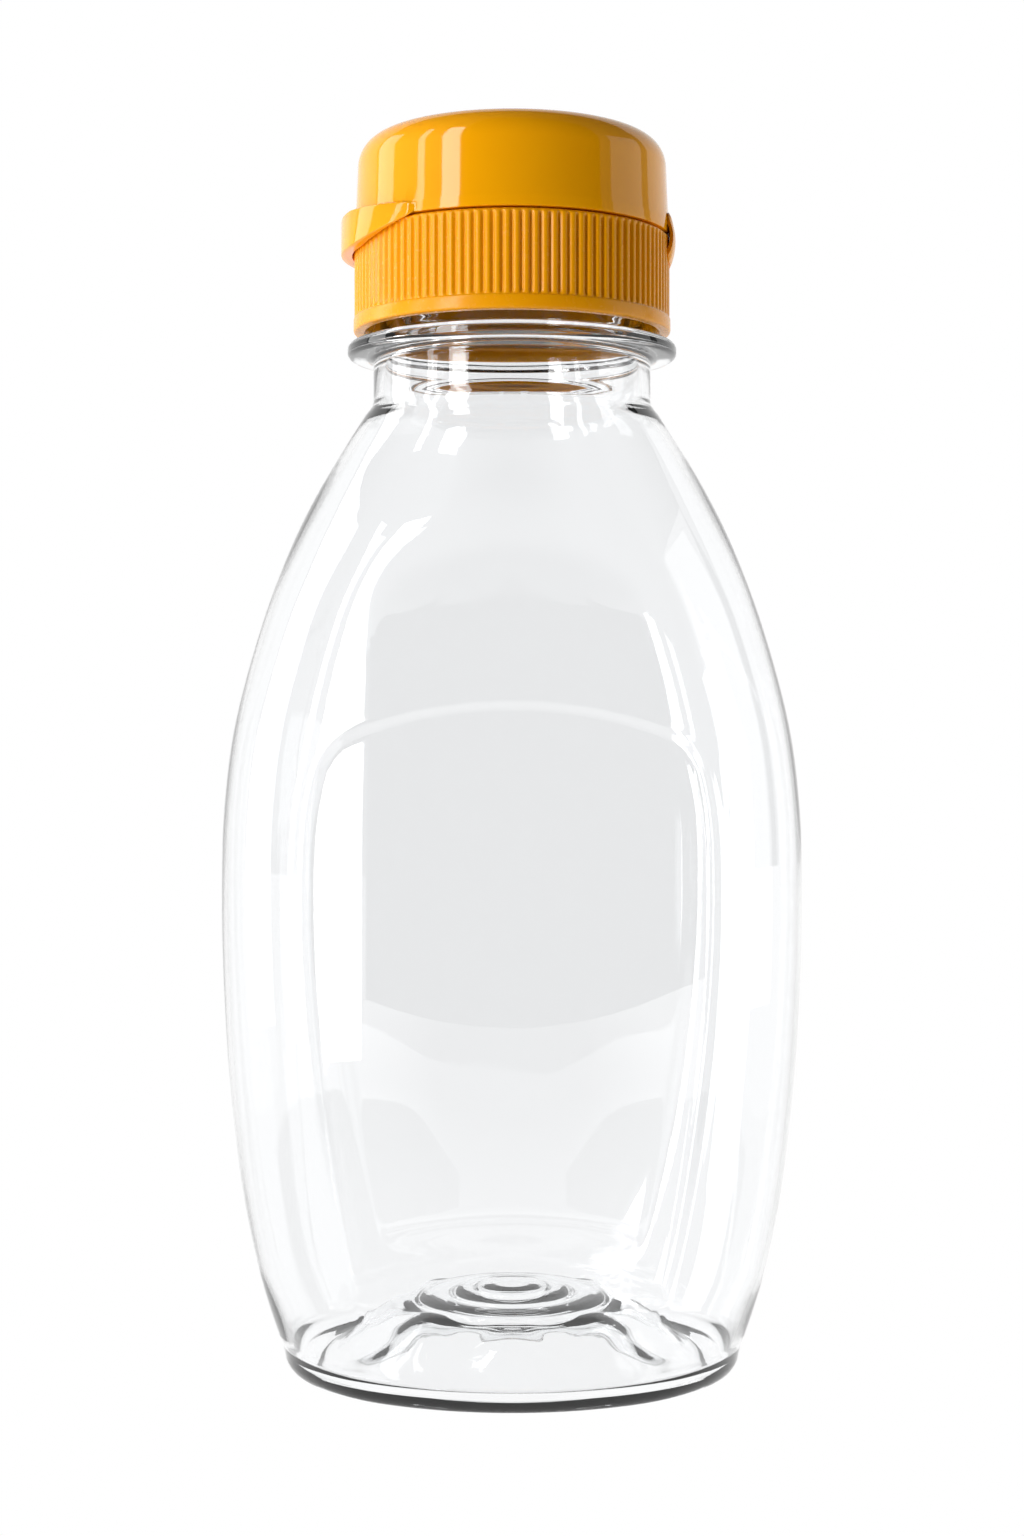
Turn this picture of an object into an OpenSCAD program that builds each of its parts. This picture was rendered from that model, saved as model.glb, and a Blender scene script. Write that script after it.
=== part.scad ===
// Clear oval squeeze bottle with a screwed flip-top dispensing closure.
// Millimetres, +Z up. The origin is the centre of the foot, on the surface the bottle stands on.
// The broad faces look along -Y and +Y; the lid hinges on the +X side and its thumb tab is on the -X side.

/* [Body] */
// Half-width of the body at its widest station
body_half_w = 38.55; // [37.5:0.05:40]
// Half-depth of the body at its deepest station
body_half_d = 27.8; // [26.5:0.1:29]
// Radius of curvature of the broad front and back faces, seen from above
face_r = 62; // [50:1:90]
// Wall thickness of the body at mid height
wall = 0.7; // [0.55:0.05:1]
// Depth of the label recess
label_depth = 0.6; // [0.3:0.05:0.9]
// Height of the top of the label recess on the centre line
label_top = 87.6; // [84:0.1:90]
// Radius of the arch over the label recess
label_arch_r = 55; // [48:1:80]
// Height of the push-up in the middle of the base
pushup = 7.2; // [5.5:0.1:8.5]
// Number of flutes around the push-up
flutes = 8; // [6:1:12]

/* [Neck finish] */
// Outer radius of the plain neck under the support ring
neck_r = 18.45; // [18.3:0.05:18.6]
// Radius of the bore at the mouth
mouth_r = 16.3; // [15.8:0.05:16.5]
// Radius of the support ring
ring_r = 21.9; // [21.4:0.05:22.3]
// Radius of the finish under its thread
finish_r = 17.6; // [17.5:0.05:17.7]
// Crest radius of the thread on the neck
thread_r = 18.7; // [18.5:0.05:18.8]
// Lead of the single-start thread, six threads to the inch
lead = 4.2333; // [4.2333:0.0001:4.2333]

/* [Closure] */
// Crest radius of the grip ribs on the skirt
skirt_r = 20.98; // [20.9:0.02:21.04]
// Number of grip ribs
ribs = 108; // [90:2:120]
// Depth of the grooves between the ribs
rib_depth = 0.36; // [0.2:0.02:0.4]
// Radius of the smooth band at the foot of the skirt
band_r = 21.1; // [21.06:0.02:21.2]
// Half-width of the flap slits in the valve
slit_w = 0.12; // [0.1:0.02:0.2]
// Half-length of the flap slits in the valve
slit_l = 3.6; // [2.6:0.1:4]

/* [Lid] */
// Radius of the lid at its lower edge
lid_r = 20.93; // [20.8:0.01:21]
// Wall thickness of the lid
lid_wall = 1.4; // [1.1:0.1:1.5]
// Height of the lid's crown above the surface the bottle stands on
lid_top = 164.1; // [163.8:0.1:164.6]
// How far the thumb tab stands out from the lid's wall
tab_reach = 1.87; // [1.4:0.01:2]
// Half of the angle that the thumb tab spans
tab_span = 54; // [46:1:60]

/* [Hidden] */
$fn = 96;

// Heights of the closure and the finish
z_ring0 = 133.7;      // underside of the support ring
z_ring1 = 135.8;      // top of the support ring
z_mouth = 147.3;      // sealing lip of the bottle
z_skirt = 137.3;      // lower edge of the skirt
z_band = 139.1;       // top of the smooth band
z_deck0 = 148.4;      // underside of the deck
z_deck1 = 150.0;      // top of the deck
z_part = 150.2;       // lower edge of the closed lid
z_spout = 154.6;      // top of the spout

function smooth(t) = let (u = min(1, max(0, t))) u * u * (3 - 2 * u);
function lerp(a, b, t) = a + (b - a) * t;
function soft_min(p, q, k) = let (h = max(k - abs(p - q), 0) / k) min(p, q) - h * h * k / 4;

// Stations of the body: height, half-width, half-depth on the centre line, and
// half-width of the front face between its two creases
st = [
    [0, 29.3, 24.6, 17],
    [3.2, 30.45, 25.5, 18.2],
    [10, 32.75, 26.3, 20.4],
    [20, 35.15, 27.0, 22.9],
    [34, 37.1, 27.5, 25.5],
    [48, 38.15, 27.75, 27.2],
    [62, 38.55, 27.8, 27.9],
    [74, 38.25, 27.6, 27.4],
    [84, 37.05, 27.0, 25.2],
    [94, 34.6, 26.0, 22.6],
    [104, 31.3, 24.7, 18.8],
    [112, 27.9, 23.2, 13.8],
    [118, 24.7, 21.8, 8.8],
    [123, 21.65, 20.3, 5.0],
    [126.4, 19.5, 19.1, 2.5],
    [128.4, 18.45, 18.45, 1.2],
    [132, 18.2, 18.2, 1.0]
];
function slope(c, i) =
    i == 0 ? (st[1][c] - st[0][c]) / (st[1][0] - st[0][0]) :
    i == len(st) - 1 ? (st[i][c] - st[i - 1][c]) / (st[i][0] - st[i - 1][0]) :
    let (h0 = st[i][0] - st[i - 1][0], h1 = st[i + 1][0] - st[i][0],
         d0 = (st[i][c] - st[i - 1][c]) / h0, d1 = (st[i + 1][c] - st[i][c]) / h1)
    (d0 * h1 + d1 * h0) / (h0 + h1);
function seg(z, i = 0) = i >= len(st) - 2 || z < st[i + 1][0] ? i : seg(z, i + 1);
function look(z, c) =
    let (i = seg(z), h = st[i + 1][0] - st[i][0], t = (z - st[i][0]) / h,
         m0 = slope(c, i) * h, m1 = slope(c, i + 1) * h)
    (2 * t * t * t - 3 * t * t + 1) * st[i][c] + (t * t * t - 2 * t * t + t) * m0
    + (-2 * t * t * t + 3 * t * t) * st[i + 1][c] + (t * t * t - t * t) * m1;
k_w = body_half_w / 38.55;
k_d = body_half_d / 27.8;
function grow(z, k) = lerp(1, k, smooth((126 - z) / 30));
function half_w(z) = look(z, 1) * grow(z, k_w);
function half_d(z) = look(z, 2) * grow(z, k_d);
function crease(z) = look(z, 3);
// The side wall is an ellipse that is fuller than the front face, and the face cuts across it at the crease.
// Near the neck the face takes the neck's own curvature, and near the foot it rounds off into the oval of the base.
function face_radius(z) = z > 50 ? lerp(face_r, 19, smooth((z - 100) / 26)) : lerp(face_r, 35, smooth((34 - z) / 32));
function face_drop(x, z) = x * x / (2 * face_radius(z));
function full_d(z) =
    let (c = crease(z), w = half_w(z))
    max((half_d(z) - face_drop(c, z)) / sqrt(1 - c * c / (w * w)), half_d(z));
function recess(x, z) =
    let (edge = crease(z) - 2.3 - abs(x), top = label_top - x * x / (2 * label_arch_r) - z)
    label_depth * smooth(soft_min(edge, top, 4) / 1.7 + 0.5) * smooth((z - 9) / 6);
// Number of columns from the side to the crease, and from the crease to the middle of the face
n_side = 7;
n_face = 8;
n_quad = n_side + n_face;
n_col = 4 * n_quad;
// Point of the first quadrant of the outline at height z
function face_x(i) = i <= 2 ? 1 - i * 0.055 : (1 - 2 * 0.055) * (1 - (i - 2) / (n_face - 2));
function arch_drop(x, z) = (x * x / (2 * label_arch_r)) * exp(-pow((z - 88) / 9, 2));
function quad_point(i, zr) =
    let (c0 = crease(zr), w0 = half_w(zr),
         cols = i <= n_side,
         a_c = acos(c0 / w0),
         th = a_c * i / n_side,
         x0 = cols ? w0 * cos(th) : c0 * face_x(i - n_side),
         z = zr - (cols ? arch_drop(c0, zr) * pow(i / n_side, 2) : arch_drop(x0, zr)),
         w = half_w(z), c = crease(z),
         x = cols ? w * cos(acos(c / w) * i / n_side) : c * face_x(i - n_side),
         y_side = full_d(z) * sqrt(max(0, 1 - x * x / (w * w))),
         y_face = half_d(z) - face_drop(x, z),
         y = cols && i < n_side ? min(y_side, y_face) : y_face)
    [x, y - recess(x, z), z];
function out_point(j, z) =
    let (q = floor(j / n_quad), i = j % n_quad)
    q == 0 ? quad_point(i, z) :
    q == 1 ? let (p = quad_point(n_quad - i, z)) [-p[0], p[1], p[2]] :
    q == 2 ? let (p = quad_point(i, z)) [-p[0], -p[1], p[2]] :
    let (p = quad_point(n_quad - i, z)) [p[0], -p[1], p[2]];
function wall_t(z) = wall + 0.35 * smooth((z - 104) / 18) + 0.3 * smooth((14 - z) / 12);
function in_point(j, z) =
    let (p = out_point(j, z), w = half_w(z), d = full_d(z), g = [p[0] / (w * w), p[1] / (d * d)])
    concat([p[0], p[1]] - g / norm(g) * wall_t(z), [p[2]]);

// Base. t runs from 0 at the edge of the middle disc to 1 at the foot; a is the column's bearing.
disc_r = 13.2;
foot_drop = 0.25;
function foot_point(j) = let (p = out_point(j, 0.9)) [p[0], p[1]] * 0.915;
function under_z(r, t, a) =
    t <= 0 ? pushup + (r < 12.2 ? 0.7 : 0) + (r < 7.6 ? 0.7 : 0) + (r < 4.6 ? 0.5 : 0) :
    foot_drop + (pushup - foot_drop) * pow(1 - smooth(t * 0.94), 1.15)
    + 0.55 * cos(flutes * a) * smooth(t / 0.22) * smooth((0.72 - t) / 0.3);
function base_xy(j, t, r) =
    let (f = foot_point(j), a = atan2(f[1], f[0]), rr = t <= 0 ? r : lerp(disc_r, norm(f), t))
    [rr * cos(a), rr * sin(a), a, rr];

// Rings of the outer surface from the neck down and in to the middle, then of the inner surface back up
z_out = [129.3, 128.2, 126.6, 124.6, 122, 118.5, 114.5, 110, 105, 100, 95, 91, 88.7, 86.8, 84, 79, 71, 62, 52, 42, 32, 23, 15.5, 12, 8, 4.4, 2.4];
heel = [[0.985, 1.35], [0.962, 0.7], [0.936, 0.36]];
t_under = [1, 0.92, 0.82, 0.7, 0.58, 0.45, 0.3, 0.15];
r_disc = [13.2, 12.4, 12.0, 7.8, 7.4, 4.7, 4.4];
function side_ring(z) = [for (j = [0:n_col - 1]) out_point(j, z)];
function heel_ring(h) = [for (j = [0:n_col - 1]) let (p = out_point(j, 2.4)) [p[0] * h[0], p[1] * h[0], h[1]]];
function under_ring(t, r, up) =
    [for (j = [0:n_col - 1]) let (b = base_xy(j, t, r)) [b[0], b[1], under_z(b[3], t, b[2]) + up]];
function in_ring(z) = [for (j = [0:n_col - 1]) in_point(j, z)];
function in_heel_ring(k, z) = [for (j = [0:n_col - 1]) let (p = in_point(j, 5)) [p[0] * k, p[1] * k, z]];
rings = concat(
    [for (z = z_out) side_ring(z)],
    [for (h = heel) heel_ring(h)],
    [for (t = t_under) under_ring(t, 0, 0)],
    [for (r = r_disc) under_ring(0, r, 0)]
);
rings_in = concat(
    [for (r = [4.0, 7.0, 11.6, 13.4]) under_ring(0, min(r, 13.2), r < 5 ? 2.0 : r < 8 ? 2.0 : r < 12 ? 1.9 : 1.9)],
    [for (t = [0.16, 0.34, 0.52, 0.68, 0.8]) under_ring(t, 0, 1.75)],
    [in_heel_ring(0.92, 2.25), in_heel_ring(0.975, 3.2)],
    [for (z = [5.4, 9, 14, 22, 33, 46, 62, 74, 82, 86.8, 89.2, 95, 102, 109, 115.5, 121, 125, 127, 129.3]) in_ring_z(z)]
);
// The last inner rings take the neck's bore
function in_ring_z(z) = z > 126.9 ? [for (j = [0:n_col - 1]) let (p = out_point(j, z)) [p[0] / norm([p[0], p[1]]) * 17.3, p[1] / norm([p[0], p[1]]) * 17.3, z]] : in_ring(z);
all_rings = concat(rings, [rings_in[0]], [for (k = [1:len(rings_in) - 1]) rings_in[k]]);
n_out = len(rings);
n_all = len(all_rings);
shell_points = concat([for (r = all_rings) for (p = r) p], [[0, 0, pushup + 1.9], [0, 0, pushup + 3.9]]);
pole_out = n_all * n_col;
pole_in = pole_out + 1;
function quad_faces(k, l) = [for (j = [0:n_col - 1]) let (j1 = (j + 1) % n_col)
    each [[k * n_col + j, k * n_col + j1, l * n_col + j], [k * n_col + j1, l * n_col + j1, l * n_col + j]]];
shell_faces = concat(
    [for (k = [0:n_out - 2]) each quad_faces(k, k + 1)],
    [for (j = [0:n_col - 1]) [(n_out - 1) * n_col + j, (n_out - 1) * n_col + (j + 1) % n_col, pole_out]],
    [for (j = [0:n_col - 1]) [n_out * n_col + (j + 1) % n_col, n_out * n_col + j, pole_in]],
    [for (k = [n_out:n_all - 2]) each quad_faces(k, k + 1)],
    quad_faces(n_all - 1, 0)
);
foot_outer = [for (j = [0:n_col - 1]) foot_point(j) * 1.008];
foot_inner = [for (j = [0:n_col - 1]) foot_point(j) * 0.935];

// A ridge of trapezoid section that climbs right-handed around Z from angle a0 over da degrees.
// r0 and r1 are its buried and its free radius, w0 and w1 its half-heights there.
module ridge(r0, r1, w0, w1, z0, a0, da) {
    n = ceil(da / 7.5);
    // Height of the crest above the root at a station, run out over the first and last step
    pts = [for (k = [0:n]) let (a = a0 + da * k / n, z = z0 + lead * a / 360,
            run = min(k, n - k) >= 1 ? 1 : 0, r = lerp(r0, r1, run), w = lerp(w0 * 0.6, w1, run))
        each [[r0 * cos(a), r0 * sin(a), z - w0], [r * cos(a), r * sin(a), z - w] * 1, [r * cos(a), r * sin(a), z + w], [r0 * cos(a), r0 * sin(a), z + w0]]];
    moved = [for (i = [0:len(pts) - 1]) let (k = floor(i / 4), m = i % 4, e = (k == 0 || k == n) && (m == 1 || m == 2))
        e ? let (a = a0 + da * k / n, s = r1 > r0 ? 0.05 : -0.05, z = z0 + lead * a / 360)
            [(r0 + s) * cos(a), (r0 + s) * sin(a), z + (m == 1 ? -w0 * 0.6 : w0 * 0.6)] : pts[i]];
    side = r1 < r0;
    faces = concat(
        [for (k = [0:n - 1]) for (m = [0:3]) let (p = 4 * k + m, q = 4 * k + (m + 1) % 4)
            each side ? [[p, p + 4, q], [q, p + 4, q + 4]] : [[p, q, p + 4], [q, q + 4, p + 4]]],
        side ? [[0, 1, 2], [0, 2, 3], [4 * n, 4 * n + 2, 4 * n + 1], [4 * n, 4 * n + 3, 4 * n + 2]]
             : [[0, 2, 1], [0, 3, 2], [4 * n, 4 * n + 1, 4 * n + 2], [4 * n, 4 * n + 2, 4 * n + 3]]
    );
    polyhedron(points = moved, faces = faces);
}

// Blown body with its neck finish, one piece
module bottle() color([0.93, 0.95, 0.96, 0.35]) union() {
    polyhedron(points = shell_points, faces = shell_faces);
    // flat foot
    linear_extrude(height = 0.9) difference() { polygon(foot_outer); polygon(foot_inner); }
    // neck, support ring and finish
    rotate_extrude() polygon([
        [16.9, 127.3], [18.2, 127.3], [neck_r, 129.1], [neck_r, 133.1], [neck_r + 0.55, z_ring0 + 0.0],
        [ring_r - 0.5, z_ring0 + 0.15], [ring_r, z_ring0 + 0.6], [ring_r, z_ring1 - 0.5], [ring_r - 0.45, z_ring1],
        [finish_r + 0.6, z_ring1 + 0.1], [finish_r, z_ring1 + 0.6],
        [finish_r, z_mouth - 0.7], [finish_r - 0.45, z_mouth], [mouth_r + 0.25, z_mouth], [mouth_r, z_mouth - 0.25], [mouth_r, 136.5]
    ]);
    ridge(finish_r - 0.3, thread_r, 1.15, 0.42, 140.6, 0, 435);
}

// Foamed sealing ring between the lip of the bottle and the deck of the closure
module seal_liner() color([0.95, 0.95, 0.93]) rotate_extrude()
    polygon([[14.6, z_mouth + 0.1], [18.85, z_mouth + 0.1], [18.85, z_deck0 - 0.1], [14.6, z_deck0 - 0.1]]);

// Screwed skirt with grip ribs, deck, snap bead and spout
rib_pitch = 360 / ribs;
rib_outline = [for (k = [0:ribs - 1]) let (a = k * rib_pitch, p = rib_pitch)
    each [for (q = [[0.16, 0], [0.26, 0.82], [0.36, 1], [0.64, 1], [0.74, 0.82], [0.84, 0]])
        let (r = skirt_r - rib_depth * (1 - q[1]), b = a + q[0] * p) [r * cos(b), r * sin(b)]]];
module cap_base() color([0.98, 0.66, 0.06]) union() {
    difference() {
        translate([0, 0, z_band - 0.4]) linear_extrude(height = z_deck1 - 0.35 - z_band + 0.4) polygon(rib_outline);
        translate([0, 0, z_band - 1]) cylinder(r = 20, h = 20);
    }
    rotate_extrude() polygon([
        // inside, from the lower edge up to the deck
        [19.7, z_skirt], [19.15, z_skirt + 0.9], [19.15, z_deck0], [14.3, z_deck0], [14.3, z_deck0 - 1.1], [13.3, z_deck0 - 1.1], [12.9, z_deck0],
        [9.65, z_deck0], [9.65, z_deck0 + 0.5], [9.45, z_deck0 + 0.9], [9.65, z_deck0 + 1.3], [9.65, z_spout - 1.2], [6.9, z_spout - 1.2],
        // spout rim and outside of the spout
        [6.9, z_spout - 0.3], [7.2, z_spout], [10.2, z_spout], [10.9, z_spout - 0.7], [11.2, z_deck1 + 0.5], [11.7, z_deck1],
        // deck with the snap bead that the lid closes over
        [17.4, z_deck1], [17.5, z_deck1 + 1.1], [17.8, z_deck1 + 1.4], [18.5, z_deck1 + 1.4], [18.9, z_deck1 + 1.0], [18.9, z_deck1 + 0.8], [18.6, z_deck1 + 0.3], [18.6, z_deck1],
        // top edge, flank under the ribs and the smooth band
        [20.25, z_deck1], [20.4, z_deck1 - 0.2], [20.4, z_band + 0.15], [band_r - 0.1, z_band + 0.1], [band_r, z_band - 0.05], [band_r, z_skirt + 0.35], [band_r - 0.3, z_skirt]
    ]);
    ridge(19.45, 17.95, 1.1, 0.4, 139.1, 30, 360);
}

// Ring pressed into the spout from below; it clamps the flange of the valve
module valve_retainer() color([0.96, 0.93, 0.85]) rotate_extrude() polygon([
    [7.3, z_deck0 + 0.2], [9.3, z_deck0 + 0.2], [9.6, z_deck0 + 0.5], [9.6, z_deck0 + 0.6], [9.4, z_deck0 + 0.9],
    [9.6, z_deck0 + 1.25], [9.6, z_spout - 2.2], [7.3, z_spout - 2.2]]);

// Self-closing membrane with crossed slits
module silicone_valve() color([0.93, 0.94, 0.95, 0.6]) difference() {
    rotate_extrude() polygon([
        [0, z_spout - 2.6], [3.5, z_spout - 2.35], [4.9, z_spout - 1.7], [5.4, z_spout - 0.9], [5.9, z_spout - 0.75], [6.3, z_spout - 1.1],
        [6.3, z_spout - 2.15], [9.4, z_spout - 2.15], [9.4, z_spout - 1.25], [6.75, z_spout - 1.25], [6.7, z_spout - 0.5],
        [6.2, z_spout - 0.1], [5.3, z_spout - 0.1], [4.7, z_spout - 0.5], [4.2, z_spout - 1.35], [3.2, z_spout - 1.8], [0, z_spout - 2.0]]);
    for (a = [45, 135]) rotate([0, 0, a]) translate([0, 0, z_spout - 2]) cube([2 * slit_l, 2 * slit_w, 4], center = true);
}

// Bowed web between the skirt and the lid, on the +X side
module living_hinge() color([0.98, 0.66, 0.06]) rotate([0, 0, -13]) rotate_extrude(angle = 26)
    polygon([[20.8, 146.4], [21.2, 146.3], [21.55, 147.4], [21.78, 148.9], [21.78, 149.9], [21.55, 151.4], [21.3, 152.7], [21.0, 152.8],
        [21.0, 151.6], [21.2, 150.9], [21.3, 149.9], [21.3, 148.9], [21.1, 147.9], [20.8, 147.6]]);

// Lid with its stopper ring and thumb tab
corner_w = 4.74;
corner_h = 4.48;
top_r = 20.55;
crown = 0.8;
function corner(n, k, g) = [for (i = [0:n]) let (t = 90 * i / n)
    [top_r - corner_w + (corner_w - g) * pow(cos(t), 2 / k), lid_top - crown - corner_h + (corner_h - g) * pow(sin(t), 2 / k)]];
crown_line = [for (i = [1:6]) let (r = (top_r - corner_w) * (1 - i / 6)) [r, lid_top - crown * pow(r / (top_r - corner_w), 2)]];
// The tab's edge is a circle about a point set towards -X, so that it runs out into the wall at tab_span
tab_shift = (2 * lid_r * tab_reach + tab_reach * tab_reach) / (2 * (lid_r + tab_reach - lid_r * cos(tab_span)));
module tab() difference() {
    translate([-tab_shift, 0, z_part - 3.2]) cylinder(r = lid_r + tab_reach - tab_shift, h = 6);
    // clearance round the ribs of the skirt, and the lid's own cavity
    translate([0, 0, z_part - 4]) cylinder(r = 21.28, h = 4.35);
    translate([0, 0, z_part]) cylinder(r = 20.3, h = 6);
    // sloping underside and top
    translate([-lid_r - tab_reach, 0, z_part - 2.85]) rotate([0, -14.9, 0]) translate([-5, -30, -10]) cube([50, 60, 10]);
    translate([-lid_r - tab_reach, 0, z_part + 1.95]) rotate([0, 5.5, 0]) translate([-5, -30, 0]) cube([50, 60, 10]);
}
module flip_lid() color([0.98, 0.66, 0.06]) union() {
    rotate_extrude() polygon(concat(
        [[lid_r - lid_wall, z_part], [lid_r - 0.15, z_part], [lid_r, z_part + 0.15]],
        corner(10, 2.3, 0), crown_line,
        // underside of the crown, with the stopper ring that closes on the spout
        [[0, lid_top - crown - 0.9], [5.6, lid_top - crown - 0.95], [5.8, z_spout + 0.45], [6.2, z_spout + 0.2], [7.2, z_spout + 0.2], [7.6, z_spout + 0.45], [7.8, lid_top - crown - 1.1]],
        [for (i = [8:-1:0]) corner(8, 2.3, lid_wall)[i]]));
    tab();
}

bottle();
seal_liner();
cap_base();
valve_retainer();
silicone_valve();
living_hinge();
flip_lid();
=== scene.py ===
import math

import bpy
import numpy as np
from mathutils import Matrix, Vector


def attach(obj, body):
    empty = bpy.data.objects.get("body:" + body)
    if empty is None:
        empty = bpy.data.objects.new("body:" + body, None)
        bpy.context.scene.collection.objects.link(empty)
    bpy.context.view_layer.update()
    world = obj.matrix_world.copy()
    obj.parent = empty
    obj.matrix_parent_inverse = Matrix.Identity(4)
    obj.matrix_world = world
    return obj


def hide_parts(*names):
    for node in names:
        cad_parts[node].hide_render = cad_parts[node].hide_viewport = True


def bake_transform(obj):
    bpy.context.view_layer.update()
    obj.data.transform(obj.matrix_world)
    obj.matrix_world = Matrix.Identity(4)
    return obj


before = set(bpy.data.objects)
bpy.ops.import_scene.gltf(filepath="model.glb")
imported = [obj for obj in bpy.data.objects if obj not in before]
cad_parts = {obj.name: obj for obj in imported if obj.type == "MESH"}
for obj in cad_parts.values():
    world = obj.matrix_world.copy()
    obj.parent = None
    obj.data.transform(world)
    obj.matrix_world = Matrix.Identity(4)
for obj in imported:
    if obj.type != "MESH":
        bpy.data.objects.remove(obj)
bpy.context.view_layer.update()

MM = 0.001

# ---------------------------------------------------------------- helpers


def smooth(t):
    u = np.clip(t, 0.0, 1.0)
    return u * u * (3 - 2 * u)


def lerp(a, b, t):
    return a + (b - a) * t


def soft_min(p, q, k):
    h = np.maximum(k - np.abs(p - q), 0) / k
    return np.minimum(p, q) - h * h * k / 4


def make_object(name, verts, faces, mat, angle=None):
    mesh = bpy.data.meshes.new(name)
    mesh.from_pydata([tuple(v) for v in (np.asarray(verts, float) * MM)], [], [tuple(int(i) for i in f) for f in faces])
    mesh.validate()
    mesh.update()
    mesh.polygons.foreach_set("use_smooth", [True] * len(mesh.polygons))
    if angle is not None:
        mesh.set_sharp_from_angle(angle=math.radians(angle))
    mesh.update()
    o = bpy.data.objects.new(name, mesh)
    bpy.context.scene.collection.objects.link(o)
    o.data.materials.append(mat)
    return o


def loft(rows, first_pole=None, last_pole=None, ring=False):
    """Vertices and faces of a tube through rows, each an (n, 3) array of the same n; poles close its ends, ring joins last to first."""
    n = len(rows[0])
    verts = np.vstack(rows)
    faces = []
    m = len(rows)
    j = np.arange(n)
    j1 = (j + 1) % n
    pairs = [(k, k + 1) for k in range(m - 1)] + ([(m - 1, 0)] if ring else [])
    for k, l in pairs:
        faces.extend(zip(k * n + j, l * n + j, l * n + j1, k * n + j1))
    if first_pole is not None:
        verts = np.vstack([verts, [first_pole]])
        p = len(verts) - 1
        faces.extend(zip(np.full(n, p), j, j1))
    if last_pole is not None:
        verts = np.vstack([verts, [last_pole]])
        p = len(verts) - 1
        faces.extend(zip(np.full(n, p), (m - 1) * n + j1, (m - 1) * n + j))
    return verts, faces


def ring_at(r, z, angles):
    return np.stack([r * np.cos(angles), r * np.sin(angles), np.broadcast_to(z, angles.shape) + 0.0 * angles], 1)


def resample(points, step):
    """Points along a polyline, at most step apart, its corners kept."""
    out = [np.array(points[0], float)]
    for a, b in zip(points[:-1], points[1:]):
        a, b = np.array(a, float), np.array(b, float)
        n = max(1, int(math.ceil(np.linalg.norm(b - a) / step)))
        out += [a + (b - a) * (i + 1) / n for i in range(n)]
    return out


def rounded(points, radius=0.12, n=3, closed=True):
    """A profile with each corner cut round, so that edges catch the light."""
    pts = [np.array(p, float) for p in points]
    out = []
    for i, p in enumerate(pts):
        if not closed and i in (0, len(pts) - 1):
            out.append(p)
            continue
        a, b = pts[i - 1], pts[(i + 1) % len(pts)]
        da, db = a - p, b - p
        la, lb = np.linalg.norm(da), np.linalg.norm(db)
        turn = abs(np.cross(da / la, db / lb)) if la > 0 and lb > 0 else 0
        if turn < 0.12:
            out.append(p)
            continue
        c = min(radius, 0.42 * la, 0.42 * lb)
        s, e = p + da / la * c, p + db / lb * c
        for k in range(n + 1):
            t = k / n
            out.append((1 - t) ** 2 * s + 2 * t * (1 - t) * p + t * t * e)
    return out


# ---------------------------------------------------------------- materials


def new_material(name):
    m = bpy.data.materials.new(name)
    m.use_nodes = True
    nt = m.node_tree
    b = nt.nodes["Principled BSDF"]
    return m, nt, b


def put(nt, kind, **values):
    n = nt.nodes.new(kind)
    for k, v in values.items():
        setattr(n, k, v)
    return n


def noise(nt, scale, detail=3.0, rough=0.5, stretch=(1, 1, 1)):
    tc = put(nt, "ShaderNodeTexCoord")
    mp = put(nt, "ShaderNodeMapping")
    mp.inputs["Scale"].default_value = stretch
    n = put(nt, "ShaderNodeTexNoise")
    n.inputs["Scale"].default_value = scale
    n.inputs["Detail"].default_value = detail
    n.inputs["Roughness"].default_value = rough
    nt.links.new(tc.outputs["Object"], mp.inputs["Vector"])
    nt.links.new(mp.outputs["Vector"], n.inputs["Vector"])
    return n


def mix_colors(nt, factor, a, b):
    mx = put(nt, "ShaderNodeMix", data_type="RGBA")
    mx.inputs["A"].default_value = (*a, 1)
    mx.inputs["B"].default_value = (*b, 1)
    nt.links.new(factor, mx.inputs["Factor"])
    return mx.outputs["Result"]


def span(nt, value, lo, hi, to_lo, to_hi):
    r = put(nt, "ShaderNodeMapRange")
    r.inputs["From Min"].default_value = lo
    r.inputs["From Max"].default_value = hi
    r.inputs["To Min"].default_value = to_lo
    r.inputs["To Max"].default_value = to_hi
    nt.links.new(value, r.inputs["Value"])
    return r.outputs["Result"]


def bump(nt, b, height, strength, distance):
    n = put(nt, "ShaderNodeBump")
    n.inputs["Strength"].default_value = strength
    n.inputs["Distance"].default_value = distance
    nt.links.new(height, n.inputs["Height"])
    nt.links.new(n.outputs["Normal"], b.inputs["Normal"])


def pet_material():
    m, nt, b = new_material("clear_pet")
    b.inputs["Base Color"].default_value = (0.985, 0.99, 0.995, 1)
    b.inputs["IOR"].default_value = 1.575
    b.inputs["Transmission Weight"].default_value = 1.0
    n = noise(nt, 90, 2.0)
    nt.links.new(span(nt, n.outputs["Fac"], 0.3, 0.7, 0.0, 0.012), b.inputs["Roughness"])
    # the slow waves of a blown wall
    w = noise(nt, 55, 1.0, 0.4, (1, 1, 0.35))
    bump(nt, b, w.outputs["Fac"], 0.35, 0.0004)
    return m


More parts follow.
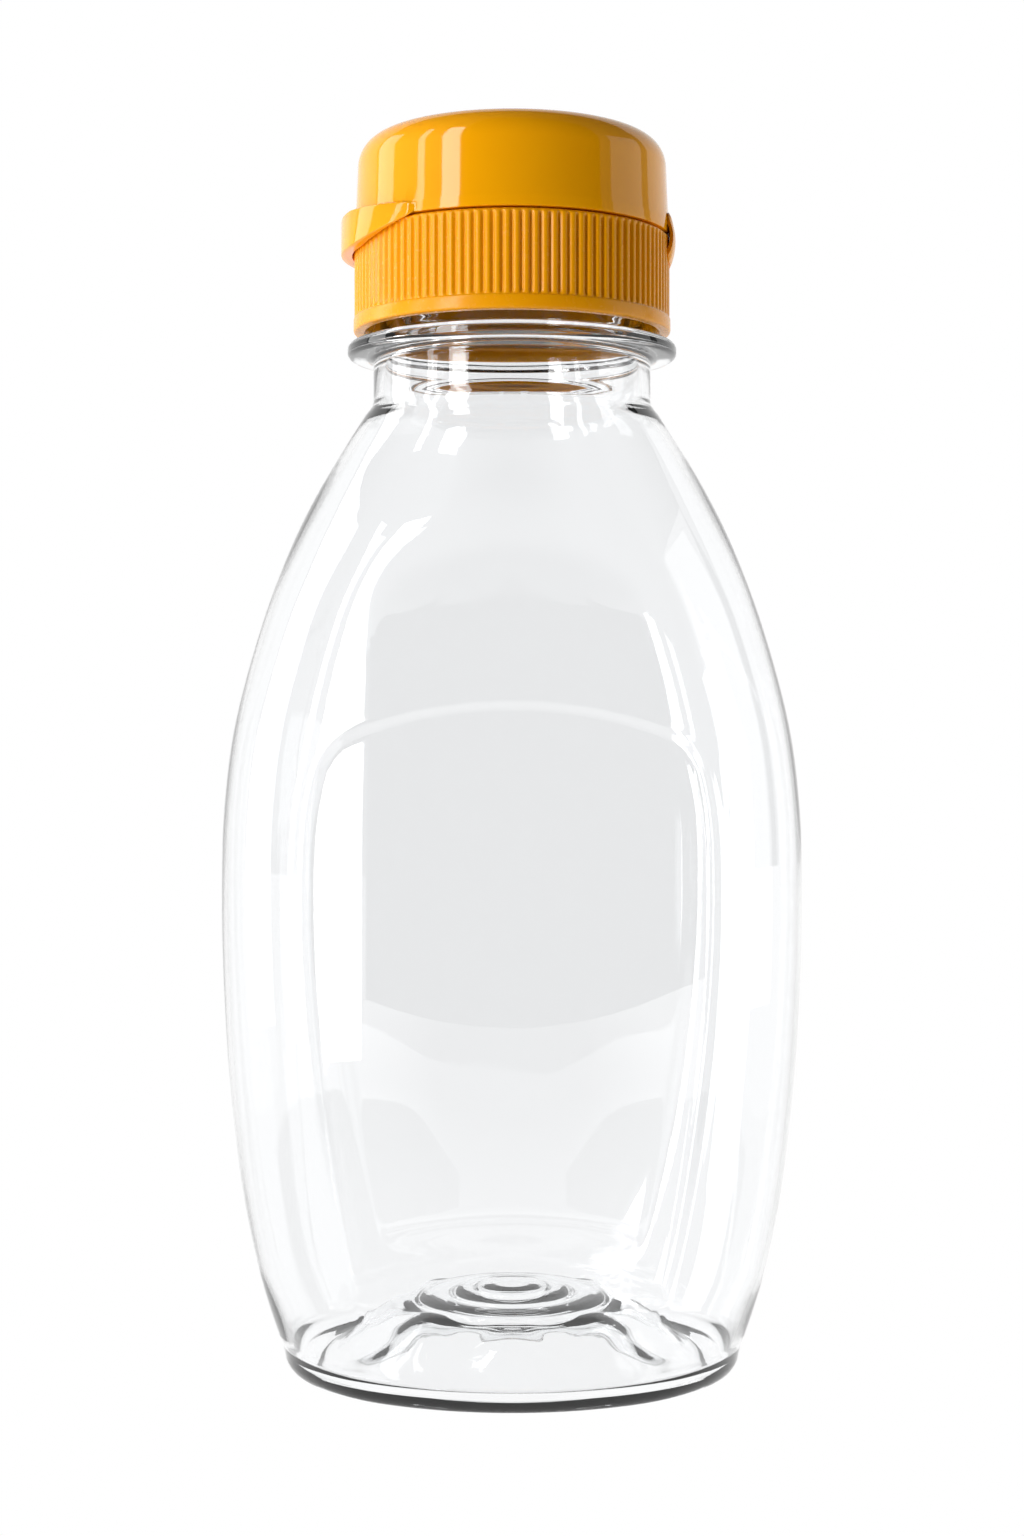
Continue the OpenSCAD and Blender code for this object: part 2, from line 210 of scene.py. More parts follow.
def plastic(name, base, deep, rough, micro, sss=0.12, spec=0.5):
    m, nt, b = new_material(name)
    big = noise(nt, 38, 3.0)
    nt.links.new(mix_colors(nt, span(nt, big.outputs["Fac"], 0.35, 0.65, 0, 1), base, deep), b.inputs["Base Color"])
    b.inputs["Subsurface Weight"].default_value = sss
    b.inputs["Subsurface Radius"].default_value = (0.0022, 0.0010, 0.0002)
    b.inputs["Subsurface Scale"].default_value = 1.0
    b.inputs["Specular IOR Level"].default_value = spec
    small = noise(nt, 1400, 2.0)
    nt.links.new(span(nt, small.outputs["Fac"], 0.3, 0.7, rough * 0.85, rough * 1.2), b.inputs["Roughness"])
    fine = noise(nt, 700, 4.0)
    bump(nt, b, fine.outputs["Fac"], micro, 0.00004)
    return m


PET = pet_material()
AMBER_LID = plastic("amber_lid", (0.95, 0.40, 0.002), (0.93, 0.375, 0.002), 0.06, 0.03, 0.05, 0.4)
AMBER_CAP = plastic("amber_cap", (0.95, 0.39, 0.002), (0.93, 0.36, 0.002), 0.24, 0.06, 0.05, 0.3)
NATURAL = plastic("natural_plastic", (0.86, 0.83, 0.74), (0.82, 0.79, 0.7), 0.35, 0.2, 0.2)
FOAM = plastic("liner_foam", (0.9, 0.9, 0.87), (0.85, 0.85, 0.82), 0.6, 0.8, 0.2)


def silicone():
    m, nt, b = new_material("clear_silicone")
    n = noise(nt, 60, 2.0)
    nt.links.new(mix_colors(nt, n.outputs["Fac"], (0.88, 0.9, 0.9), (0.82, 0.85, 0.86)), b.inputs["Base Color"])
    b.inputs["Transmission Weight"].default_value = 0.35
    b.inputs["IOR"].default_value = 1.41
    b.inputs["Subsurface Weight"].default_value = 0.3
    b.inputs["Subsurface Radius"].default_value = (0.001, 0.001, 0.001)
    nt.links.new(span(nt, n.outputs["Fac"], 0.3, 0.7, 0.3, 0.42), b.inputs["Roughness"])
    return m


SILICONE = silicone()

# ---------------------------------------------------------------- bottle

ST = np.array([
    [0, 29.3, 24.6, 17], [3.2, 30.45, 25.5, 18.2], [10, 32.75, 26.3, 20.4], [20, 35.15, 27.0, 22.9],
    [34, 37.1, 27.5, 25.5], [48, 38.15, 27.75, 27.2], [62, 38.55, 27.8, 27.9], [74, 38.25, 27.6, 27.4],
    [84, 37.05, 27.0, 25.2], [94, 34.6, 26.0, 22.6], [104, 31.3, 24.7, 18.8], [112, 27.9, 23.2, 13.8],
    [118, 24.7, 21.8, 8.8], [123, 21.65, 20.3, 5.0], [126.4, 19.5, 19.1, 2.5], [128.4, 18.45, 18.45, 1.2],
    [132, 18.2, 18.2, 1.0],
])
ZS = ST[:, 0]
SLOPES = np.zeros((len(ST), 4))
for c in (1, 2, 3):
    d = np.diff(ST[:, c]) / np.diff(ZS)
    h = np.diff(ZS)
    SLOPES[0, c], SLOPES[-1, c] = d[0], d[-1]
    SLOPES[1:-1, c] = (d[:-1] * h[1:] + d[1:] * h[:-1]) / (h[:-1] + h[1:])


def look(z, c):
    z = np.asarray(z, float)
    i = np.clip(np.searchsorted(ZS, z, side="right") - 1, 0, len(ST) - 2)
    h = ZS[i + 1] - ZS[i]
    t = (z - ZS[i]) / h
    m0, m1 = SLOPES[i, c] * h, SLOPES[i + 1, c] * h
    return ((2 * t**3 - 3 * t**2 + 1) * ST[i, c] + (t**3 - 2 * t**2 + t) * m0
            + (-2 * t**3 + 3 * t**2) * ST[i + 1, c] + (t**3 - t**2) * m1)


def face_radius(z):
    return np.where(z > 50, lerp(62.0, 19.0, smooth((z - 100) / 26)), lerp(62.0, 35.0, smooth((34 - z) / 32)))


def face_drop(x, z):
    return x * x / (2 * face_radius(z))


def full_d(z):
    c, w, d = look(z, 3), look(z, 1), look(z, 2)
    return np.maximum((d - face_drop(c, z)) / np.sqrt(1 - c * c / (w * w)), d)


def recess(x, z):
    edge = look(z, 3) - 2.3 - np.abs(x)
    top = 87.6 - x * x / 110.0 - z
    return 0.6 * smooth(soft_min(edge, top, 4.0) / 1.7 + 0.5) * smooth((z - 9) / 6)


N_SIDE, N_FACE = 24, 30
N_QUAD = N_SIDE + N_FACE
N_COL = 4 * N_QUAD


def arch_drop(x, z):
    return (x * x / 110.0) * np.exp(-((z - 88) / 9) ** 2)


def quad_points(zr):
    """One quadrant of the outline, from the side (x axis) to the middle of the front face, crease rounded."""
    c0, w0 = look(zr, 3), look(zr, 1)
    i = np.arange(N_QUAD + 1)
    side = i <= N_SIDE
    a_c = np.arccos(c0 / w0)
    u = np.where(side, i / N_SIDE, 0)
    f = np.clip(i - N_SIDE, 0, None)
    fx = np.where(f <= 10, 1 - f * 0.0185, (1 - 0.185) * (1 - (f - 10) / (N_FACE - 10)))
    x0 = np.where(side, w0 * np.cos(a_c * u), c0 * fx)
    z = zr - np.where(side, arch_drop(c0, zr) * u**2, arch_drop(x0, zr))
    w, c = look(z, 1), look(z, 3)
    x = np.where(side, w * np.cos(np.arccos(c / w) * u), c * fx)
    y_side = full_d(z) * np.sqrt(np.maximum(0, 1 - x * x / (w * w)))
    y_face = look(z, 2) - face_drop(x, z)
    k = 0.6 + 4.4 * smooth((z - 106) / 14)
    y = soft_min(y_side, y_face, k)
    y = np.where(x < c * 0.6, lerp(y_face, y, smooth((z - 106) / 6)), y)
    y = np.where(i == 0, 0, y)
    return x, y - np.where(i == 0, 0, recess(x, z)), z


def outline(zr):
    x, y, z = quad_points(zr)
    n = N_QUAD
    q0 = np.stack([x, y, z], 1)[:n]
    q1 = np.stack([-x, y, z], 1)[::-1][:n]
    q2 = np.stack([-x, -y, z], 1)[:n]
    q3 = np.stack([x, -y, z], 1)[::-1][:n]
    return np.vstack([q0, q1, q2, q3])


def wall_t(z):
    return 0.7 + 0.35 * smooth((z - 104) / 18) + 0.3 * smooth((14 - z) / 12)


neck_row = outline(128.9)
ANG = np.arctan2(neck_row[:, 1], neck_row[:, 0])

# neck finish, from the inner edge of the lip out and down to the shoulder; thread as a raised spiral
finish = rounded([
    (16.3, 147.05), (16.55, 147.3), (17.15, 147.3), (17.6, 146.6), (17.6, 136.4), (18.2, 135.9),
    (21.45, 135.8), (21.9, 135.3), (21.9, 134.3), (21.4, 133.85), (19.0, 133.7), (18.45, 133.1), (18.45, 129.4),
], 0.3, 4, closed=False)
finish = resample(finish, 0.34)


def thread_height(theta, z):
    h = np.zeros_like(theta)
    for turn in range(-1, 3):
        th = theta + 2 * math.pi * turn
        zc = 140.6 + 4.2333 * th / (2 * math.pi)
        total = math.radians(435)
        run = smooth(th / 0.35) * smooth((total - th) / 0.35)
        d = np.abs(z - zc)
        h = np.maximum(h, 1.1 * smooth((1.0 - d) / 0.6) * run)
    return h


theta01 = np.mod(ANG, 2 * math.pi)
rows_out = []
for r, z in finish:
    rr = np.full(N_COL, r)
    if abs(r - 17.6) < 0.02 and 137 < z < 146.7:
        rr = rr + thread_height(theta01, z)
    rows_out.append(ring_at(rr, z, ANG))
zs_side = np.concatenate([
    [129.0, 128.5, 128.0, 127.4, 126.8, 126.1, 125.3, 124.4, 123.4],
    np.arange(122.2, 95.5, -1.35), np.arange(95.0, 82.0, -0.45), np.arange(81.5, 20.0, -1.6),
    np.arange(19.2, 5.0, -0.8), [4.6, 3.9, 3.2, 2.6],
])
blend_neck = []
for z in zs_side:
    row = outline(z)
    # the last millimetres under the neck turn into its circle
    k = smooth((z - 126.0) / 2.6)
    circle = ring_at(18.45, z, ANG)
    row = row * (1 - k) + circle * k if k > 0 else row
    blend_neck.append(row)
rows_out += blend_neck
low = outline(2.6)
for q in (0.2, 0.4, 0.6, 0.8, 0.93):
    a = q * math.pi / 2
    scale = 1 - 0.062 * (1 - math.cos(a))
    z = 0.05 + 2.55 * (1 - math.sin(a))
    row = low * [scale, scale, 0]
    row[:, 2] = z
    rows_out.append(row)
foot = outline(0.9)[:, :2] * 0.915
foot_a = np.arctan2(foot[:, 1], foot[:, 0])
foot_r = np.hypot(foot[:, 0], foot[:, 1])
flat_out = foot * 1.005
flat_in = foot * 0.955
rows_out.append(np.column_stack([flat_out, np.zeros(N_COL)]))
rows_out.append(np.column_stack([flat_in, np.zeros(N_COL)]))


def under_z(t, a):
    return (0.25 + 6.95 * (1 - smooth(t * 0.94)) ** 1.15
            + 0.6 * np.cos(8 * a) * smooth(t / 0.22) * smooth((0.78 - t) / 0.3))


def under_row(t, up=0.0):
    r = lerp(13.2, foot_r * 0.94, t)
    a = foot_a
    return np.column_stack([r * np.cos(a), r * np.sin(a), under_z(np.full(N_COL, t), a) + up])


for t in (0.985, 0.95, 0.9, 0.84, 0.78, 0.72, 0.66, 0.6, 0.54, 0.48, 0.42, 0.36, 0.3, 0.24, 0.18, 0.12, 0.07, 0.03):
    rows_out.append(under_row(t))
disc = [(13.2, 7.2), (12.7, 7.2), (12.35, 7.35), (12.1, 7.75), (11.8, 7.9), (10.4, 7.9), (8.4, 7.9), (7.9, 8.0), (7.65, 8.4), (7.3, 8.6),
        (6.2, 8.6), (5.0, 8.6), (4.75, 8.72), (4.5, 9.0), (4.2, 9.1), (2.8, 9.1), (1.4, 9.1)]
disc_rows = [ring_at(r, z, foot_a) for r, z in disc]
rows_out += disc_rows

# inner surface, from the middle of the base back up to the mouth
rows_in = []
disc_in = [(1.4, 11.1), (2.8, 11.1), (3.8, 11.05), (4.3, 10.75), (4.9, 10.6), (6.4, 10.55), (7.1, 10.3), (7.6, 9.95), (9.0, 9.85), (11.0, 9.8), (11.8, 9.6), (12.4, 9.2), (13.2, 9.02)]
rows_in += [ring_at(r, z, foot_a) for r, z in disc_in]
for t in (0.05, 0.1, 0.16, 0.22, 0.28, 0.34, 0.4, 0.46, 0.52, 0.58, 0.64, 0.7, 0.76, 0.82, 0.87, 0.92, 0.97):
    rows_in.append(under_row(t, 1.78 - 0.75 * float(smooth((t - 0.5) / 0.5))))


def normals_of(rows):
    g = np.array(rows)
    du = np.roll(g, -1, 1) - np.roll(g, 1, 1)
    dv = np.gradient(g, axis=0)
    n = np.cross(du, dv)
    n /= np.linalg.norm(n, axis=2, keepdims=True)
    out = np.sign((n[..., 0] * g[..., 0] + n[..., 1] * g[..., 1]).mean())
    return n * out


side_grid = [outline(z) for z in zs_side]
for k, z in enumerate(zs_side):
    q = smooth((z - 126.0) / 2.6)
    side_grid[k] = side_grid[k] * (1 - q) + ring_at(18.45, z, ANG) * q
side_n = normals_of(side_grid)
pick = [k for k, z in enumerate(zs_side) if 3.8 < z < 128.2]
inner_side = []
for k in pick:
    p = side_grid[k] - side_n[k] * wall_t(side_grid[k][:, 2])[:, None]
    q = smooth((p[:, 2] - 125.2) / 2.0)[:, None]
    bore = ring_at(17.2, p[:, 2], ANG)
    inner_side.append(p * (1 - q) + bore * q)
inner_side = inner_side[::-1]
foot_in = inner_side[0]
last_under = rows_in[-1]
for q in (0.15, 0.3, 0.45, 0.6, 0.75, 0.9):
    # heel inside: from the dome's edge out and up into the wall
    a = q * math.pi / 2
    s, c = math.sin(a), math.cos(a)
    row = np.column_stack([
        last_under[:, 0] + (foot_in[:, 0] - last_under[:, 0]) * s,
        last_under[:, 1] + (foot_in[:, 1] - last_under[:, 1]) * s,
        foot_in[:, 2] + (last_under[:, 2] - foot_in[:, 2]) * c,
    ])
    rows_in.append(row)
rows_in += inner_side
for r, z in [(17.2, 129.2), (17.15, 131), (17.1, 133), (16.9, 134.6), (16.5, 136.2), (16.32, 137.6), (16.3, 140), (16.3, 143), (16.3, 145.5), (16.3, 146.7)]:
    rows_in.append(ring_at(r, z, ANG))

# the base keeps its own pole on each side of the wall
v1, f1 = loft(rows_out, last_pole=(0, 0, 9.1))
v2, f2 = loft(rows_in, first_pole=(0, 0, 11.1))
off = len(v1)
faces = list(f1) + [tuple(i + off for i in f) for f in f2]
top_in = off + (len(rows_in) - 1) * N_COL
j = np.arange(N_COL)
j1 = (j + 1) % N_COL
faces += list(zip(top_in + j, 0 + j, 0 + j1, top_in + j1))
bottle = make_object("pet_bottle", np.vstack([v1, v2]), faces, PET)
import bmesh
bm = bmesh.new()
bm.from_mesh(bottle.data)
bmesh.ops.recalc_face_normals(bm, faces=bm.faces)
bm.to_mesh(bottle.data)
bm.free()
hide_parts("bottle")
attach(bottle, "bottle")

# ---------------------------------------------------------------- cap base

RIBS = 108
PER = 8
N_RIB = RIBS * PER


def rib_radius(k_end):
    """Radius round the skirt for a share of the rib depth, rounded crest and a narrower groove."""
    p = (np.arange(N_RIB) % PER) / PER
    wave = 0.5 - 0.5 * np.cos(2 * math.pi * p)
    crest = smooth(wave * 1.5)
    return 20.98 - 0.36 * (1 - crest) * k_end


full = np.arange(N_RIB) * 2 * math.pi / N_RIB
skirt_rows = []
for z, k in [(149.98, 0), (149.93, 0.0)]:
    pass
prof_low = [(19.7, 137.3), (20.85, 137.3), (21.02, 137.38), (21.1, 137.6), (21.1, 138.3), (21.1, 138.95), (21.05, 139.1)]
for r, z in prof_low:
    skirt_rows.append(ring_at(r, z, full))
for z, k in [(139.18, 0.0), (139.3, 0.35), (139.5, 0.75), (139.8, 0.95), (140.3, 1.0), (143, 1.0), (146, 1.0), (148.8, 1.0), (149.2, 0.95), (149.45, 0.75), (149.62, 0.35), (149.74, 0.0)]:
    rr = rib_radius(k)
    if k == 0:
        rr = np.full(N_RIB, 20.94 if z < 145 else 20.85)
    skirt_rows.append(ring_at(rr, z, full))
for r, z in [(20.7, 149.88), (20.45, 149.98), (20.2, 150.0)]:
    skirt_rows.append(ring_at(r, z, full))
v_s, f_s = loft(skirt_rows)
# top and inside of the cap, on a coarser ring of columns stitched to the skirt's edges
N_C = N_RIB // 4
coarse = np.arange(N_C) * 2 * math.pi / N_C
inside = rounded([
    (18.6, 150.0), (18.6, 150.3), (18.9, 150.8), (18.9, 151.0), (18.5, 151.4), (17.8, 151.4), (17.5, 151.1), (17.4, 150.0), (11.7, 150.0),
    (11.2, 150.5), (10.9, 153.9), (10.2, 154.6), (7.2, 154.6), (6.9, 154.3), (6.9, 153.4), (9.65, 153.4), (9.65, 148.4),
    (12.9, 148.4), (13.3, 147.3), (14.3, 147.3), (14.3, 148.4), (19.15, 148.4), (19.15, 138.2),
], 0.14, 3, closed=False)
inside = resample(inside, 1.6)


def cap_thread(theta, z):
    h = np.zeros_like(theta)
    for turn in range(-1, 3):
        th = theta + 2 * math.pi * turn
        zc = 139.1 + 4.2333 * th / (2 * math.pi)
        a0, a1 = math.radians(30), math.radians(390)
        run = smooth((th - a0) / 0.3) * smooth((a1 - th) / 0.3)
        h = np.maximum(h, 1.2 * smooth((0.95 - np.abs(z - zc)) / 0.6) * run)
    return h


fine_wall = []
for r, z in inside:
    if abs(r - 19.15) < 0.02 and z < 148:
        continue
    fine_wall.append((r, z))
fine_wall += [(19.15, z) for z in np.arange(148.1, 138.1, -0.3)]
in_rows = []
for r, z in fine_wall:
    rr = np.full(N_C, r)
    if abs(r - 19.15) < 0.02:
        rr = rr - cap_thread(coarse, z)
    in_rows.append(ring_at(rr, z, coarse))
v_i, f_i = loft(in_rows)
base = len(v_s)
faces = list(f_s) + [tuple(i + base for i in f) for f in f_i]
top0 = (len(skirt_rows) - 1) * N_RIB
for k in range(N_C):
    c0, c1 = base + k, base + (k + 1) % N_C
    f0 = [top0 + (4 * k + m) % N_RIB for m in range(5)]
    for a, b2 in zip(f0[:2], f0[1:3]):
        faces.append((a, b2, c0))
    faces.append((f0[2], c1, c0))
    for a, b2 in zip(f0[2:4], f0[3:5]):
        faces.append((a, b2, c1))
bot0 = base + (len(in_rows) - 1) * N_C
for k in range(N_C):
    c0, c1 = bot0 + k, bot0 + (k + 1) % N_C
    f0 = [(4 * k + m) % N_RIB for m in range(5)]
    for a, b2 in zip(f0[:2], f0[1:3]):
        faces.append((a, c0, b2))
    faces.append((f0[2], c0, c1))
    for a, b2 in zip(f0[2:4], f0[3:5]):
        faces.append((a, c1, b2))


def finish_mesh(o, angle):
    bm = bmesh.new()
    bm.from_mesh(o.data)
    bmesh.ops.recalc_face_normals(bm, faces=bm.faces)
    bm.to_mesh(o.data)
    bm.free()
    o.data.set_sharp_from_angle(angle=math.radians(angle))


cap = make_object("cap_shell", np.vstack([v_s, v_i]), faces, AMBER_CAP)
finish_mesh(cap, 50)
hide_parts("cap_base")
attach(cap, "cap")

# ---------------------------------------------------------------- lid with its thumb tab

N_L = 288
la = np.arange(N_L) * 2 * math.pi / N_L
dev = np.abs(np.mod(la - math.pi + math.pi, 2 * math.pi) - math.pi)
dev = np.abs(((la - math.pi + math.pi) % (2 * math.pi)) - math.pi)  # bearing away from -X
dev = np.abs(np.angle(np.exp(1j * (la - math.pi))))
LID_R, REACH, SPAN = 20.93, 1.87, math.radians(54)
shift = (2 * LID_R * REACH + REACH * REACH) / (2 * (LID_R + REACH - LID_R * math.cos(SPAN)))
rad = LID_R + REACH - shift
tab_edge = shift * np.cos(dev) + np.sqrt(np.maximum(rad**2 - (shift * np.sin(dev)) ** 2, 0))
on = dev < SPAN
edge = np.where(on, np.maximum(tab_edge, LID_R), LID_R)
step = np.where(on, 0.32 * smooth((SPAN - dev) / 0.03), 0.0)
edge = np.minimum(edge + step, LID_R + REACH - 0.03)
w = (edge - LID_R) / REACH
lower = np.where(w > 0.02, np.minimum(150.2, 150.0 - 2.65 * np.clip((w - 0.2) / 0.8, 0, 1) ** 0.9), 150.2)


def lid_ring(r, z):
    return np.column_stack([r * np.cos(la), r * np.sin(la), z + 0 * la])


z_low = np.where(w > 0.02, lower, 150.32)
z_top = np.where(w > 0.02, 151.3 + 0.85 * w, 151.45)
rows = []
LW = LID_R
# underside of the wall, clearance round the ribs, the tab's underside, its edge and its top
rows.append(lid_ring(np.full(N_L, 19.53), 150.2))
rows.append(lid_ring(np.full(N_L, 20.75), 150.2))
wall_low = np.where(w > 0.02, 21.3, 20.86)
wall_low = np.minimum(wall_low, np.maximum(edge - 0.12, 20.86))
rows.append(lid_ring(np.minimum(wall_low, 20.86), 150.22))
rows.append(lid_ring(wall_low, np.where(w > 0.05, lower + 0.06, 150.25)))
rows.append(lid_ring(lerp(wall_low, edge, 0.5), np.where(w > 0.05, lower, 150.28)))
rows.append(lid_ring(np.where(w > 0.02, edge - 0.22 * np.clip(w * 3, 0.2, 1), LID_R - 0.03), z_low + np.where(w > 0.05, 0.02, 0.0)))
rows.append(lid_ring(np.where(w > 0.02, edge - 0.05, LID_R - 0.005), z_low + 0.12))
rows.append(lid_ring(edge, z_low + 0.3))
rows.append(lid_ring(edge, lerp(z_low, z_top, 0.5)))
rows.append(lid_ring(edge, z_top - 0.3))
rows.append(lid_ring(np.where(w > 0.02, edge - 0.06, edge), z_top - 0.1))
rows.append(lid_ring(np.where(w > 0.02, np.maximum(edge - 0.25, 20.93), edge), z_top))
rows.append(lid_ring(np.where(w > 0.02, lerp(20.93, edge, 0.35), 20.93), z_top + 0.03 + 0.05))
rows.append(lid_ring(np.full(N_L, 20.92), z_top + 0.28))
corner_w, corner_h, top_r, lid_top, crown = 4.74, 4.48, 20.55, 164.1, 0.8
z_wall = lid_top - crown - corner_h
for t in (0.25, 0.5, 0.75):
    zz = lerp(z_top + 0.28, z_wall, t)
    rows.append(lid_ring(20.93 - 0.38 * (zz - 150.2) / (z_wall - 150.2), zz))
for i in range(0, 25):
    t = math.pi / 2 * i / 24
    rows.append(lid_ring(np.full(N_L, top_r - corner_w + corner_w * max(math.cos(t), 0) ** (2 / 2.3)), z_wall + corner_h * math.sin(t) ** (2 / 2.3)))
for i in range(1, 14):
    r = (top_r - corner_w) * (1 - i / 14)
    rows.append(lid_ring(np.full(N_L, r), lid_top - crown * (r / (top_r - corner_w)) ** 2))
# inner side, from the middle out: crown, stopper ring, wall
inner = [(1.5, 162.4), (5.4, 162.36), (5.65, 162.2), (5.75, 155.2), (5.9, 154.95), (6.2, 154.82), (7.2, 154.82), (7.48, 154.95), (7.62, 155.2), (7.75, 162.1), (8.0, 162.25)]
for i in range(8, -1, -1):
    t = math.pi / 2 * i / 8
    inner.append((top_r - corner_w + (corner_w - 1.4) * max(math.cos(t), 0) ** (2 / 2.3), z_wall + (corner_h - 1.4) * math.sin(t) ** (2 / 2.3)))
inner += [(19.3, 154.0), (19.42, 152.0), (19.5, 150.6)]
lid_outer = rows
vo, fo = loft(lid_outer, last_pole=(0, 0, lid_top))
vi, fi = loft([lid_ring(np.full(N_L, r), z) for r, z in inner], first_pole=(0, 0, 162.4))
off = len(vo)
faces = list(fo) + [tuple(i + off for i in f) for f in fi]
k0 = off + (len(inner) - 1) * N_L
jj = np.arange(N_L)
jj1 = (jj + 1) % N_L
faces += list(zip(k0 + jj, jj, jj1, k0 + jj1))
lid = make_object("lid_shell", np.vstack([vo, vi]), faces, AMBER_LID)
finish_mesh(lid, 40)
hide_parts("flip_lid")
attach(lid, "lid")

# ---------------------------------------------------------------- living hinge, a bowed web

outer = [(20.86, 146.3), (21.1, 146.25), (21.38, 146.9), (21.62, 147.8), (21.76, 148.8), (21.78, 149.6), (21.72, 150.4), (21.55, 151.3), (21.3, 152.3), (21.05, 152.75), (20.86, 152.75)]
inner_h = [(20.86, 151.9), (21.05, 151.5), (21.2, 150.9), (21.3, 150.2), (21.32, 149.4), (21.28, 148.7), (21.15, 147.9), (20.98, 147.3), (20.86, 147.0)]
loop = np.array(resample(outer, 0.25) + resample(inner_h, 0.25))
angles = np.radians(np.linspace(-13, 13, 25))
rows = []
for a in angles:
    e = 1 - smooth((abs(math.degrees(a)) - 11.2) / 1.8) * 0.25
    mid = loop.mean(0)
    sec = mid + (loop - mid) * [1, e]
    rows.append(np.column_stack([sec[:, 0] * math.cos(a), sec[:, 0] * math.sin(a), sec[:, 1]]))
va, fa = loft(rows)
n = len(loop)
fa = list(fa) + [tuple(range(n)), tuple(range((len(rows) - 1) * n + n - 1, (len(rows) - 1) * n - 1, -1))]
hinge = make_object("hinge_web", va, fa, AMBER_CAP)
finish_mesh(hinge, 45)
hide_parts("living_hinge")
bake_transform(hinge)

# ---------------------------------------------------------------- CAD nodes that stay, with their own finishes

for node, mat in (("seal_liner", FOAM), ("valve_retainer", NATURAL), ("silicone_valve", SILICONE)):
    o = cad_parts[node]
    o.data.materials.clear()
    o.data.materials.append(mat)

# ---------------------------------------------------------------- stage, light and camera


def emitter(name, verts, strength, parent=None):
    m = bpy.data.materials.new(name)
    m.use_nodes = True
    nt = m.node_tree
    nt.nodes.clear()
    e = nt.nodes.new("ShaderNodeEmission")
    e.inputs["Color"].default_value = (1, 1, 1, 1)
    e.inputs["Strength"].default_value = strength
    out = nt.nodes.new("ShaderNodeOutputMaterial")
    nt.links.new(e.outputs[0], out.inputs["Surface"])
    mesh = bpy.data.meshes.new(name)
    mesh.from_pydata(verts, [], [tuple(range(len(verts)))])
    o = bpy.data.objects.new(name, mesh)
    bpy.context.scene.collection.objects.link(o)
    o.data.materials.append(m)
    if parent is not None:
        o.parent = parent
    return o


cam_data = bpy.data.cameras.new("camera")
cam = bpy.data.objects.new("camera", cam_data)
bpy.context.scene.collection.objects.link(cam)
cam.location = (0, -0.327, 0.0852)
cam.rotation_euler = (math.radians(90), 0, 0)
cam_data.sensor_width = 36
cam_data.lens = 2450 / 1536 * 36
cam_data.shift_y = -43 / 1536
cam_data.clip_start, cam_data.clip_end = 0.01, 50
bpy.context.scene.camera = cam

floor = emitter("floor", [(1.6 * math.cos(a), 1.6 * math.sin(a), -0.00005) for a in np.linspace(0, 2 * math.pi, 49)[:-1]], 1.0)
# a soft darker spot painted into the floor's glow in front of the bottle, below the picture: painted shade that darkens
# what the bottle's lower wall and base mirror and let through
fnt = floor.data.materials[0].node_tree
f_tc = fnt.nodes.new("ShaderNodeTexCoord")
f_di = fnt.nodes.new("ShaderNodeVectorMath")
f_di.operation = "DISTANCE"
f_di.inputs[1].default_value = (0.0, -0.30, 0.0)
floor_painted_shade = fnt.nodes.new("ShaderNodeMapRange")
floor_painted_shade.inputs["From Min"].default_value = 0.10
floor_painted_shade.inputs["From Max"].default_value = 0.23
floor_painted_shade.inputs["To Min"].default_value = 0.4
floor_painted_shade.inputs["To Max"].default_value = 1.0
fnt.links.new(f_tc.outputs["Object"], f_di.inputs[0])
fnt.links.new(f_di.outputs["Value"], floor_painted_shade.inputs["Value"])
# the floor's glow, dimmed by the painted shade spot
fnt.links.new(floor_painted_shade.outputs["Result"], fnt.nodes["Emission"].inputs["Strength"])
backdrop = emitter("backdrop", [(-2, -2, -1.45), (2, -2, -1.45), (2, 2, -1.45), (-2, 2, -1.45)], 1.0, cam)
card = emitter("dark_card", [(-0.26, -0.16, 0.03), (0.85, -0.16, 0.03), (0.85, 1.2, 0.03), (-0.26, 1.2, 0.03)], 0.0, cam)


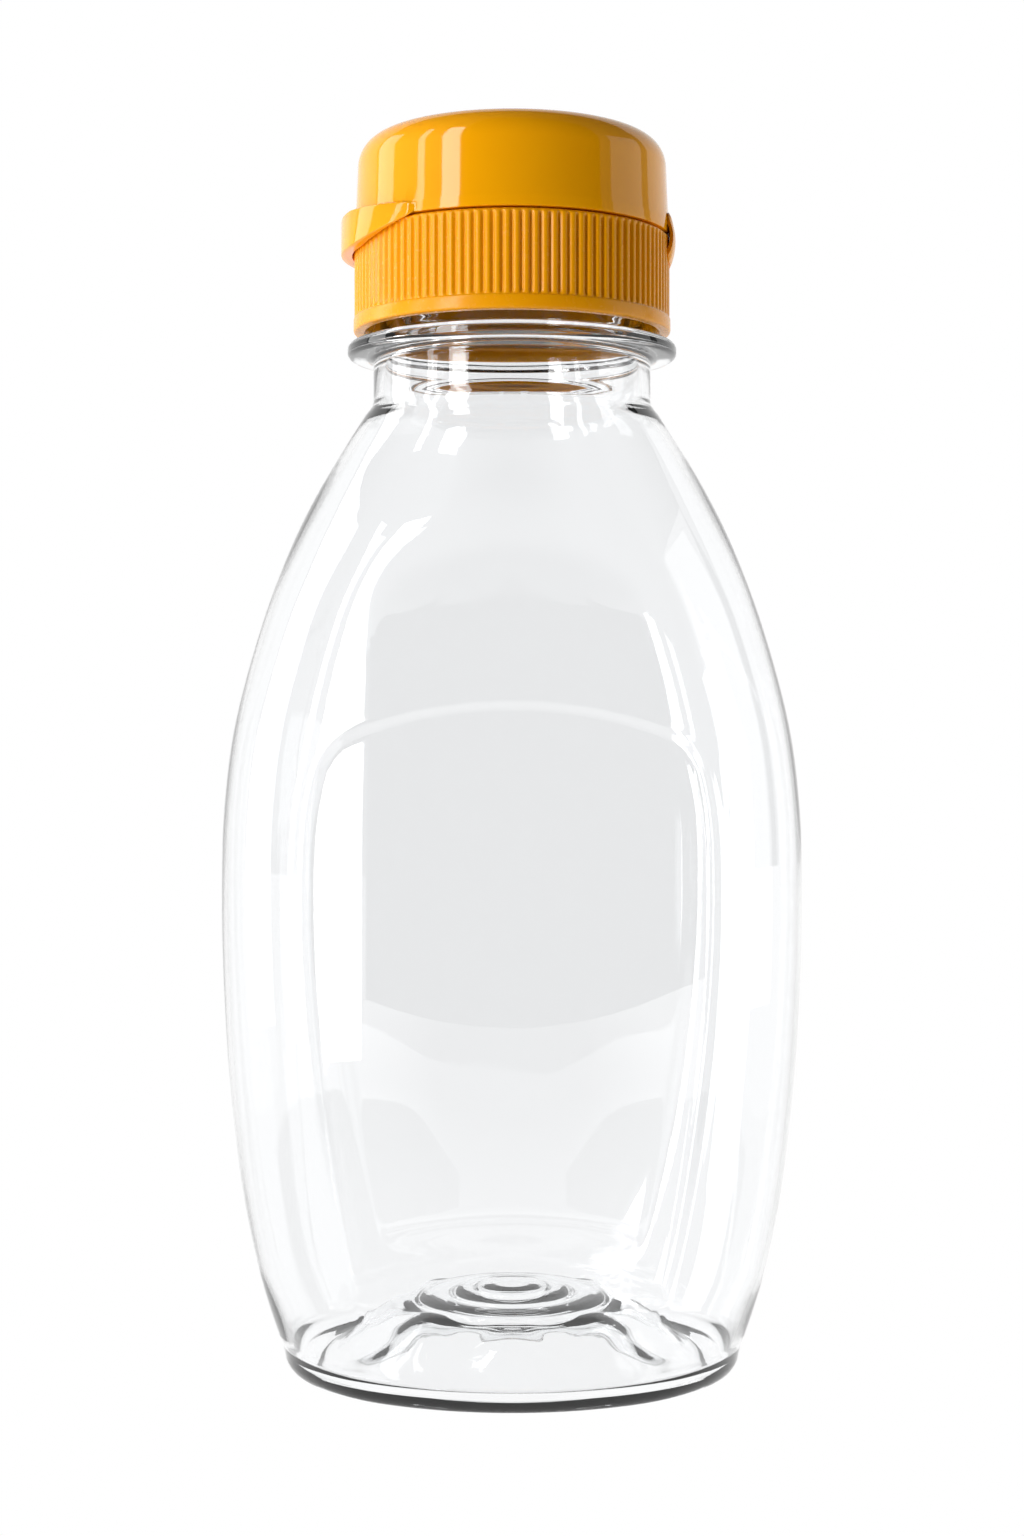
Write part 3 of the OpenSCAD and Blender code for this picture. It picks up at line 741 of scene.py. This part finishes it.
def softbox(name, azimuth, distance, z0, z1, width, radiance):
    """A tall area light at a bearing from the bottle's front, facing the bottle."""
    d = bpy.data.lights.new(name, "AREA")
    d.shape = "RECTANGLE"
    d.size, d.size_y = width, z1 - z0
    d.energy = radiance * math.pi * width * (z1 - z0)
    o = bpy.data.objects.new(name, d)
    bpy.context.scene.collection.objects.link(o)
    a = math.radians(azimuth)
    o.location = (distance * math.sin(a), -distance * math.cos(a), (z0 + z1) / 2)
    o.rotation_euler = (math.radians(90), 0, a)
    o.visible_camera = False
    return o


softbox("key_left", -44, 0.30, 0.0, 0.40, 0.072, 8.0)
softbox("key_edge", -68, 0.30, 0.0, 0.40, 0.03, 5.0)
softbox("side_left", -104, 0.30, 0.0, 0.36, 0.10, 3.0)
softbox("side_right", 92, 0.34, 0.0, 0.34, 0.2, 0.9)

world = bpy.data.worlds.new("studio")
bpy.context.scene.world = world
world.use_nodes = True
nt = world.node_tree
bg = nt.nodes["Background"]
tc = nt.nodes.new("ShaderNodeTexCoord")
sep = nt.nodes.new("ShaderNodeSeparateXYZ")
nt.links.new(tc.outputs["Generated"], sep.inputs[0])
r1 = nt.nodes.new("ShaderNodeMapRange")
r1.inputs["From Min"].default_value = -1
r1.inputs["From Max"].default_value = 1
r1.inputs["To Min"].default_value = 0.42
r1.inputs["To Max"].default_value = 0.22
nt.links.new(sep.outputs["X"], r1.inputs["Value"])
r2 = nt.nodes.new("ShaderNodeMapRange")
r2.inputs["From Min"].default_value = 0.25
r2.inputs["From Max"].default_value = 0.9
r2.inputs["To Min"].default_value = 1.0
r2.inputs["To Max"].default_value = 0.25
nt.links.new(sep.outputs["Z"], r2.inputs["Value"])
mul = nt.nodes.new("ShaderNodeMath")
mul.operation = "MULTIPLY"
nt.links.new(r1.outputs["Result"], mul.inputs[0])
nt.links.new(r2.outputs["Result"], mul.inputs[1])
nt.links.new(mul.outputs[0], bg.inputs["Strength"])
bg.inputs["Color"].default_value = (1, 1, 1, 1)

scene = bpy.context.scene
scene.view_settings.view_transform = "Standard"
scene.view_settings.look = "None"
scene.view_settings.exposure = 0
scene.view_settings.gamma = 1
